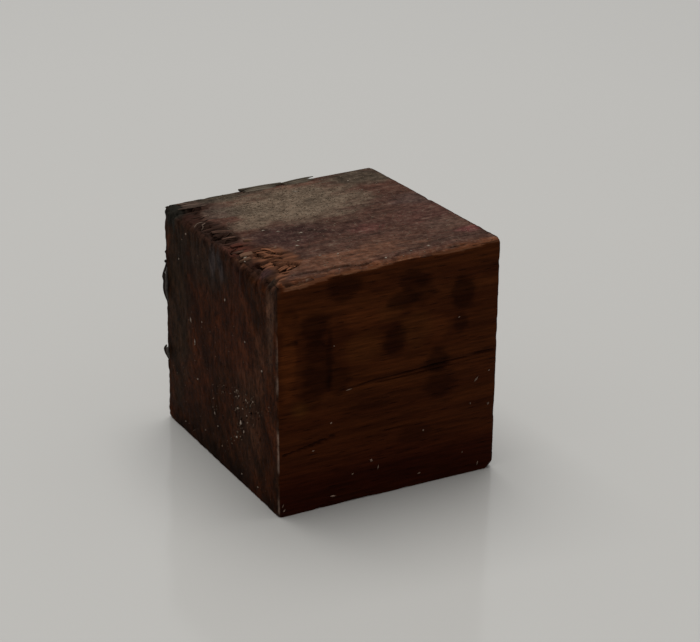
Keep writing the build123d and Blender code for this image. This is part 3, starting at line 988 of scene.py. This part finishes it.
def plain_tint(points, on):
    """Colour of the bare wood: banded grain on the long sides and the top, and clouds on the sawn ends."""
    bands = 0.5 + 0.5 * noise(points * (0.03, 0.30, 0.42), 41, 3)
    streaks = 0.5 + 0.5 * noise(points * (0.07, 1.3, 1.5), 42, 3)
    banded = smooth_step(0.25, 0.75, 0.55 * bands + 0.45 * streaks)
    clouds = smooth_step(0.2, 0.8, 0.5 + 0.5 * noise(points * (0.2, 0.55, 0.28), 43, 4))
    tint = mix(front_dark, front_light, banded)
    tint = np.where(on["top"][:, None], mix(top_brown, top_red, banded), tint)
    ends = on["torn_end"] | on["far_end"]
    return np.where(ends[:, None], mix(end_dark, end_light, clouds), tint)


def stained_tint(points, facts, tree):
    """Colour of the wood with its patches, saw marks, stains and dark foot, and how thick dust lies on it."""
    on = facts.on
    tint = plain_tint(points, on)
    dust = np.zeros(len(points))
    for name, (pixel, half_sizes, colour, strength) in patches.items():
        cover = strength * patch_cover(points, tree, pixel, half_sizes)
        tint = mix(tint, colour, cover)
        if name.startswith("dust"):
            dust = np.maximum(dust, cover)
    dust = np.maximum(dust, top_film * on["top"]) * (1.0 - facts.tear)

    slanted = points @ np.array(((0.1, 0.0, 0.0), (0.0, 0.68, 0.10), (0.0, -0.59, 0.12)))
    marks = 1.0 + 0.90 * noise(slanted, 55, 3)
    ends = on["torn_end"] | on["far_end"]
    tint = np.where(ends[:, None], tint * marks[:, None], tint)
    for pixel, half_sizes, kept in stains:
        tint = tint * (1.0 - (1.0 - kept) * patch_cover(points, tree, pixel, half_sizes, 1.4, 0.25))[:, None]
    uneven_height = points[:, 2] + 0.8 * noise(points * (0.1, 0.5, 0.5), 58, 2)
    foot = smooth_step(front_foot, 1.5, uneven_height) * on["front"]
    return tint * (1.0 - foot[:, None] * foot_loss), dust


def wear_and_highlight_tint(tint, points, facts, tree):
    """Colour with the worn top front arris, lips and front corner worn pale with painted highlight, rubbed
    edges.
    """
    on, from_end, below_top = facts.on, facts.from_end, facts.below_top
    patchy = smooth_step(-0.35, 0.5, noise(points * 0.7, 46, 2))
    past_arris = below_top - np.interp(from_end, arris_places, arris_heights)
    past_arris += 0.10 * noise(points * (1.1, 0.1, 0.1), 49, 2)
    past_arris += 0.16 * (smooth_step(-0.08, 0.08, noise(points * (0.45, 0.05, 0.05), 53, 2)) - 0.5)
    arris = np.maximum(smooth_step(1.5, 0.3, facts.from_front) * on["top"] * (0.3 + 0.7 * patchy),
                       smooth_step(0.05, -0.05, past_arris) * on["front"])
    arris *= smooth_step(0.5, 1.0, from_end)
    tint = mix(tint, worn_arris, 0.9 * arris)

    # The lips: worn wood with a painted highlight along the lower edge of the arris band and along the listed
    # lips
    lip = smooth_step(0.09, 0.03, np.abs(past_arris + 0.07)) * on["front"]
    for pixels in lips:
        away = distance_to_path(points, path_seen(tree, pixels))
        lip = np.maximum(lip, smooth_step(lip_half_width, 0.5 * lip_half_width, away))
    tint = mix(tint, lip_wear_and_highlight, 0.75 * lip * (0.3 + 0.7 * patchy) * smooth_step(0.6, 1.1, from_end))

    # The front corner of the torn end: worn pale, with a painted highlight along it
    corner = smooth_step(0.5, 0.1, facts.from_front) * on["torn_end"] * smooth_step(0.6, 2.0, below_top)
    tint = mix(tint, corner_wear_and_highlight, 0.8 * corner * patchy * smooth_step(0.0, 14.0, below_top))
    edge = smooth_step(0.55, 0.05, facts.edge_gap)
    return mix(tint, worn_orange, 0.4 * edge * patchy * (on["far_end"] | on["back"] | on["base"]))


def torn_edge_tint(tint, points, facts, tree):
    """Torn edge colour: fibres, hanging wood, patches, and painted shade on and under the rim, in gaps and
    slots.
    """
    on, share, below_top = facts.on, facts.share, facts.below_top
    loose = smooth_step(0.30, 0.75, 0.5 + 0.5 * noise(points * (0.30, 2.4, 2.4), 47, 2))
    # Torn wood, with painted shade in the gaps between its fibres where loose is low
    torn = mix(torn_tint(share), gap_painted_shade, 0.75 - 0.75 * loose)
    comb_start = np.interp(share, comb_shares, comb_starts)
    outer = facts.from_end + 1.1 * noise(points * (0.8, 1.2, 1.2), 48, 2) - 0.8 * comb_start
    # Painted shade on the torn floor near the rim
    rim = mix(torn, rim_painted_shade, 0.9 * smooth_step(0.4, -0.6, outer))
    tint = mix(tint, rim, 0.95 * facts.tear)
    # Painted shade on the end just under the rim
    under = below_top + 0.6 * noise(points * (0.5, 1.0, 0.6), 57, 2)
    tint = mix(tint, under_rim_painted_shade, 0.85 * smooth_step(1.4, 0.2, under) * on["torn_end"])
    past_rim = below_top - 0.5 - noise(points * (0.5, 1.4, 0.9), 54, 3)
    hanging = smooth_step(0.35, -0.35, past_rim) * np.interp(share, hanging_shares, hanging_strengths)
    tint = mix(tint, 0.8 * torn, hanging * on["torn_end"])
    # Painted shade in the slots between the fibre bundles
    tint = mix(tint, gap_painted_shade, 0.95 * facts.slot)
    for pixel, half_sizes, colour, strength in torn_patches:
        tint = mix(tint, colour, strength * patch_cover(points, tree, pixel, half_sizes))
    return tint


def block_tint(points, facts, tree):
    """Colour of each point of the block, and how thick dust lies on it."""
    on = facts.on
    tint, dust = stained_tint(points, facts, tree)
    tint = wear_and_highlight_tint(tint, points, facts, tree)
    tint = torn_edge_tint(tint, points, facts, tree)
    # Painted shade in the splits along the grain
    return mix(tint, gap_painted_shade, 0.9 * facts.split * (on["front"] | on["top"])), dust


def torn_tint(share):
    """Colour of freshly torn wood, at shares of the width from the front."""
    share = np.asarray(share)
    colour = mix(torn_front, torn_middle, smooth_step(0.34, 0.41, share))
    return mix(colour, torn_back, smooth_step(0.45, 0.52, share))


def build_block(tree, material):
    """The dressed block, which stands for the CAD solid, and a search tree over it."""
    points, quads, facts = dressed_block(tree)
    tint, dust = block_tint(points, facts, tree)
    points = points + facts.outward * worn_relief(points, facts)[:, None]
    points[:, 2] = np.maximum(points[:, 2], 0.0)
    piece = new_piece("cube_block", points, quads.tolist(), material)
    colour_points(piece, tint)
    value_points(piece, "dust", dust)
    value_points(piece, "end", facts.on["torn_end"] | facts.on["far_end"])
    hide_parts("wooden_cube")
    return BVHTree.FromPolygons([Vector(point) for point in points], quads.tolist())


class Heap:
    """Many small bits that make one piece."""

    def __init__(self):
        self.points, self.faces, self.colours = [], [], []
        self.count = 0

    def add(self, points, faces, colour):
        self.faces += [tuple(corner + self.count for corner in face) for face in faces]
        self.points.append(points)
        self.colours.append(np.broadcast_to(colour, (len(points), 3)))
        self.count += len(points)

    def build(self, name, material):
        piece = new_piece(name, np.concatenate(self.points), self.faces, material)
        colour_points(piece, np.concatenate(self.colours))


def strand(path, radius, flat, tip=0.3, root=0.85, up=(0.0, 0.0, 1.0)):
    """Points and faces of a fibre from its tip to its root, flat times as wide as it is thick."""
    along = unit(np.gradient(path, axis=0))
    across = unit(np.cross(along, up))
    over = np.cross(across, along)
    turns = np.linspace(0.0, 2.0 * math.pi, strand_sides, endpoint=False)
    spread = across[:, None] * flat * np.cos(turns)[:, None] + over[:, None] * np.sin(turns)[:, None]
    taper = np.interp(np.linspace(0.0, 1.0, len(path)), (0.0, 0.2, 0.6, 1.0), (tip, 0.85, 1.0, root))
    points = (path[:, None] + spread * (radius * taper)[:, None, None]).reshape(-1, 3)
    faces = []
    for ring in range(len(path) - 1):
        for side in range(strand_sides):
            here, beside = ring * strand_sides + side, ring * strand_sides + (side + 1) % strand_sides
            faces.append((here, here + strand_sides, beside + strand_sides, beside))
    faces.append(tuple(range(strand_sides)))
    faces.append(tuple(reversed(range(len(points) - strand_sides, len(points)))))
    return points, faces


def top_height(tree, place):
    """Height of the block under a place, or nan beside it."""
    hit = tree.ray_cast(Vector((place[0], place[1], ray_start)), Vector((0.0, 0.0, -1.0)))[0]
    return hit.z if hit is not None else np.nan


def laid_path(tree, start, end, bend):
    """A slightly bent path from one place to another that lies on the block."""
    share = np.linspace(0.0, 1.0, laid_points)
    flat = np.outer(1.0 - share, start) + np.outer(share, end)
    flat[:, 1] += bend * np.sin(math.pi * share)
    heights = np.array([top_height(tree, place) for place in flat])
    known = heights > np.nanmax(heights) - laid_drop
    heights = np.interp(share, share[known], heights[known])
    smoothed = np.convolve(np.pad(heights, 1, mode="edge"), (0.25, 0.5, 0.25), mode="valid")
    return np.column_stack((flat[:, :2], np.maximum(heights, smoothed)))


def add_thin_fibre(heap, tree, shares, lengths, radii):
    """One thin fibre on the torn edge, with its root sunk in and its tip a little up or down."""
    share = rng.uniform(*shares)
    y = torn_front_y + share * (torn_back_y - torn_front_y)
    x = torn_end_x + np.interp(share, comb_shares, comb_starts) + rng.uniform(-0.5, 0.6)
    tip = (x, y + rng.normal(0.0, 0.15))
    root = (x + rng.uniform(*lengths), y)
    path = laid_path(tree, tip, root, rng.normal(0.0, 0.10))
    path[-1, 2] -= laid_sink
    path[:3, 2] += np.array((1.0, 0.5, 0.2)) * rng.uniform(*laid_tip_rise)
    colour = torn_tint(share) * rng.uniform(0.4, 1.15)
    heap.add(*strand(path, rng.uniform(*radii), rng.uniform(1.3, 2.2)), colour)


def add_bundle(heap, tree, pixels, radius, colour):
    """A bundle of strands side by side along some pixels, with its root sunk in."""
    knots = path_seen(tree, pixels) + (0.0, 0.0, bundle_lift)
    knots[-1, 2] -= bundle_sink
    for _ in range(bundle_strands):
        path = smooth_path(knots + rng.normal(0.0, 0.03, (1, 3)), strand_points)
        path[:, 1] += rng.normal(0.0, 0.10)
        thickness = radius * rng.uniform(0.6, 0.9)
        heap.add(*strand(path, thickness, 1.5, 0.7), np.array(colour) * rng.uniform(0.7, 1.2))


def add_torn_fibres(tree, material):
    """Fibres of the torn edge: thin ones, the bundles that the photograph shows among them, and curls."""
    heap = Heap()
    for shares, lengths, radii, count in torn_rows:
        for _ in range(count):
            add_thin_fibre(heap, tree, shares, lengths, radii)
    for pixels, radius, colour in bundles:
        add_bundle(heap, tree, pixels, radius, colour)
    for pixels in curls:
        path = smooth_path(path_seen(tree, pixels) + curl_offset, strand_points)
        heap.add(*strand(path, curl_radius, 1.2, 0.6), curl_colour)
    heap.build("torn_fibres", material)


def end_reach(tree, y, z):
    """How far out the torn end is at a place on it."""
    return tree.ray_cast(Vector((-ray_start, y, z)), Vector((1.0, 0.0, 0.0)))[0].x


def back_edge(tree, x):
    """How far back the block reaches at a place along the grain, and how high its top is there."""
    level = top_height(tree, (x, sliver_inner_y))
    return tree.ray_cast(Vector((x, ray_start, level - sliver_below)), Vector((0.0, -1.0, 0.0)))[0].y, level


def add_top_sliver(heap, tree, free_x, free_rise, root_x, root_rise, radius, blunt):
    """A frayed sliver along the back edge: a whole outer strand, and shorter, thinner ones inside it."""
    along = np.linspace(free_x, root_x, sliver_points)
    lean, start = np.polyfit(along, [back_edge(tree, x) for x in along], 1)
    for row in range(sliver_rows):
        worn = rng.uniform(0.0, sliver_fray, 2) * (row > 0)
        share = np.linspace(worn[0], 1.0 - worn[1], sliver_points)
        path = np.outer(free_x + (root_x - free_x) * share, (1.0, *lean)) + (0.0, *start)
        path[:, 1] += rng.normal(0.0, 0.08) * np.sin(math.pi * share) - sliver_inset - sliver_pitch * row
        path[:, 2] += free_rise + (root_rise - free_rise) * share - sliver_step * row
        colour = np.array(sliver_colour) * rng.uniform(0.65, 1.25)
        tip, root, thick = (0.3, 0.3, rng.uniform(0.75, 1.0)) if row else (blunt, 0.85, 1.0)
        heap.add(*strand(path, radius * thick, 2.0, tip, root), colour)


def add_flake_line(heap, tree, pixels):
    """Strands of uneven length along one line of the flake."""
    knots = path_seen(tree, pixels) + (0.0, 0.0, flake_lift)
    for _ in range(flake_strands):
        path = smooth_path(knots, flake_points)
        path = path[rng.integers(0, flake_fray):flake_points - rng.integers(0, flake_fray)]
        path += (0.0, rng.normal(0.0, 0.14), rng.uniform(-0.04, 0.02))
        colour = np.array(flake_colour) * rng.uniform(0.5, 1.3)
        heap.add(*strand(path, rng.uniform(0.06, 0.10), 2.0, 0.5, 0.3), colour)


def add_slivers(tree, material):
    """Bits of wood that stand off the block: along the top's back edge, at its torn corner, past the end."""
    heap = Heap()
    for sliver in top_slivers:
        add_top_sliver(heap, tree, *sliver)
    for pixels in flake:
        add_flake_line(heap, tree, pixels)
    for knots, colour in ribbons:
        knots = [(end_reach(tree, y, z) - proud, y, z) for z, proud, y in knots]
        path = smooth_path(knots, ribbon_points)
        colour = np.array(colour) * rng.uniform(0.9, 1.1)
        heap.add(*strand(path, ribbon_radius, 1.0, 0.4, 0.4, ribbon_facing), colour)
    heap.build("loose_slivers", material)


def grain(place, outward, along, sizes):
    """Points of an irregular grain, partly sunk in the surface that it lies on."""
    along = unit(along - outward * (along @ outward))
    axes = np.stack((along, np.cross(outward, along), outward))
    corners = grain_corners * rng.uniform(0.7, 1.25, (6, 1)) + rng.normal(0.0, 0.12, (6, 3))
    return place + outward * grain_proud * sizes[2] + (corners * sizes) @ axes


def add_dust(tree, material):
    """Grains of sawdust and grit: the bits that stand out in the photograph, and fine ones around them."""
    heap = Heap()
    for bits, colour in bit_groups:
        for x, y, length, width, lean in bits:
            place, outward = seen_at(tree, (x, y))
            turn = math.radians(lean)
            along = camera_right * math.cos(turn) + camera_up * math.sin(turn)
            sizes = np.array((length, width, bit_height_share * width)) * bit_half_share * pixel_size
            points = grain(place, outward, along, sizes)
            heap.add(points, grain_faces, np.array(colour) * rng.uniform(0.8, 1.2))
    scatter_top(heap, tree)
    scatter_end(heap, tree)
    heap.build("dust_grains", material)


def scatter_top(heap, tree):
    """Fine sawdust on the top, thick on the dusty field and thin elsewhere."""
    places = np.full((top_grains, 3), dusty_z)
    places[:, 0] = rng.uniform(*dusty_x, top_grains)
    places[:, 1] = rng.uniform(*dusty_y, top_grains)
    thick = thin_share * (places[:, 0] > torn_end_x + tear_zone)
    for name, (pixel, half_sizes, _, strength) in patches.items():
        if name.startswith("dust"):
            thick = np.maximum(thick, strength * patch_cover(places, tree, pixel, half_sizes))
    for place in places[rng.random(top_grains) < dusty_share * thick]:
        hit, outward, _, _ = tree.ray_cast(Vector((place[0], place[1], ray_start)), Vector((0.0, 0.0, -1.0)))
        if outward.z < grain_ground:
            continue
        sizes = rng.uniform(*dust_sizes) * rng.uniform(*grain_spread, 3) * dust_shape
        colour = mix(dust_brown, dust_pale, rng.random()) * rng.uniform(0.75, 1.2)
        heap.add(grain(np.array(hit), np.array(outward), rng.normal(size=3), sizes), grain_faces, colour)


def scatter_end(heap, tree):
    """Grit caught in clumps on the torn end, and a little on the rest of it."""
    clumps = [clump for clump in grit_clumps for _ in range(clump_grains)]
    spots = [(rng.normal(middle, spread), clump_largest) for middle, spread in clumps]
    spots += [(rng.uniform(*loose_pixels), loose_largest) for _ in range(loose_grains)]
    for pixel, largest in spots:
        place, outward = seen_at(tree, pixel)
        if place.dtype == object or outward[0] > -grain_ground:
            continue
        if rng.random() < grit_lost * smooth_step(*grit_heights, place[2]):
            continue
        sizes = rng.uniform(grit_smallest, largest) * rng.uniform(*grain_spread, 3)
        colour = np.array(grit_colour) * rng.uniform(0.3, 1.0) * rng.choice(grit_shades)
        heap.add(grain(place, outward, rng.normal(size=3), sizes), grain_faces, colour)


def add_floor():
    """Plain pale floor with a soft gloss."""
    nodes = Nodes("pale_floor")
    nodes.shader.inputs["Base Color"].default_value = floor_colour
    nodes.shader.inputs["Roughness"].default_value = floor_roughness
    half = floor_half
    mesh = bpy.data.meshes.new("floor")
    corners = [(-half, -half, 0.0), (half, -half, 0.0), (half, half, 0.0), (-half, half, 0.0)]
    mesh.from_pydata((np.array(corners) * metres).tolist(), [], [(0, 1, 2, 3)])
    mesh.materials.append(nodes.material)
    floor = bpy.data.objects.new("floor", mesh)
    bpy.context.scene.collection.objects.link(floor)


def add_lamp():
    """A soft square lamp above and behind the cube, aimed at its base, with its power in watts."""
    data = bpy.data.lights.new("overhead", "AREA")
    data.size = lamp_size * metres
    data.energy = lamp_power
    lamp = bpy.data.objects.new("overhead", data)
    lamp.location = Vector(lamp_place) * metres
    lamp.rotation_euler = (-Vector(lamp_place)).to_track_quat("-Z", "Y").to_euler()
    bpy.context.scene.collection.objects.link(lamp)


def add_world():
    """Even grey surroundings."""
    world = bpy.data.worlds.new("surroundings")
    world.use_nodes = True
    sky = world.node_tree.nodes["Background"]
    sky.inputs["Color"].default_value = (1.0, 1.0, 1.0, 1.0)
    sky.inputs["Strength"].default_value = world_strength
    bpy.context.scene.world = world


bpy.context.scene.view_settings.view_transform = "Standard"
add_camera()
add_floor()
add_lamp()
add_world()

cad_tree = tree_of_node(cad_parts["wooden_cube"])
block_tree = build_block(cad_tree, wood_material())
add_torn_fibres(block_tree, loose_material("torn_wood", per_mm=(0.8, 9.0, 9.0), contrast=0.35, rough=0.65))
add_slivers(block_tree, loose_material("split_wood", per_mm=(0.6, 8.0, 5.0), contrast=0.35, rough=0.65))
add_dust(block_tree, loose_material("sawdust", per_mm=(9.0, 9.0, 9.0), contrast=0.30, rough=0.85))
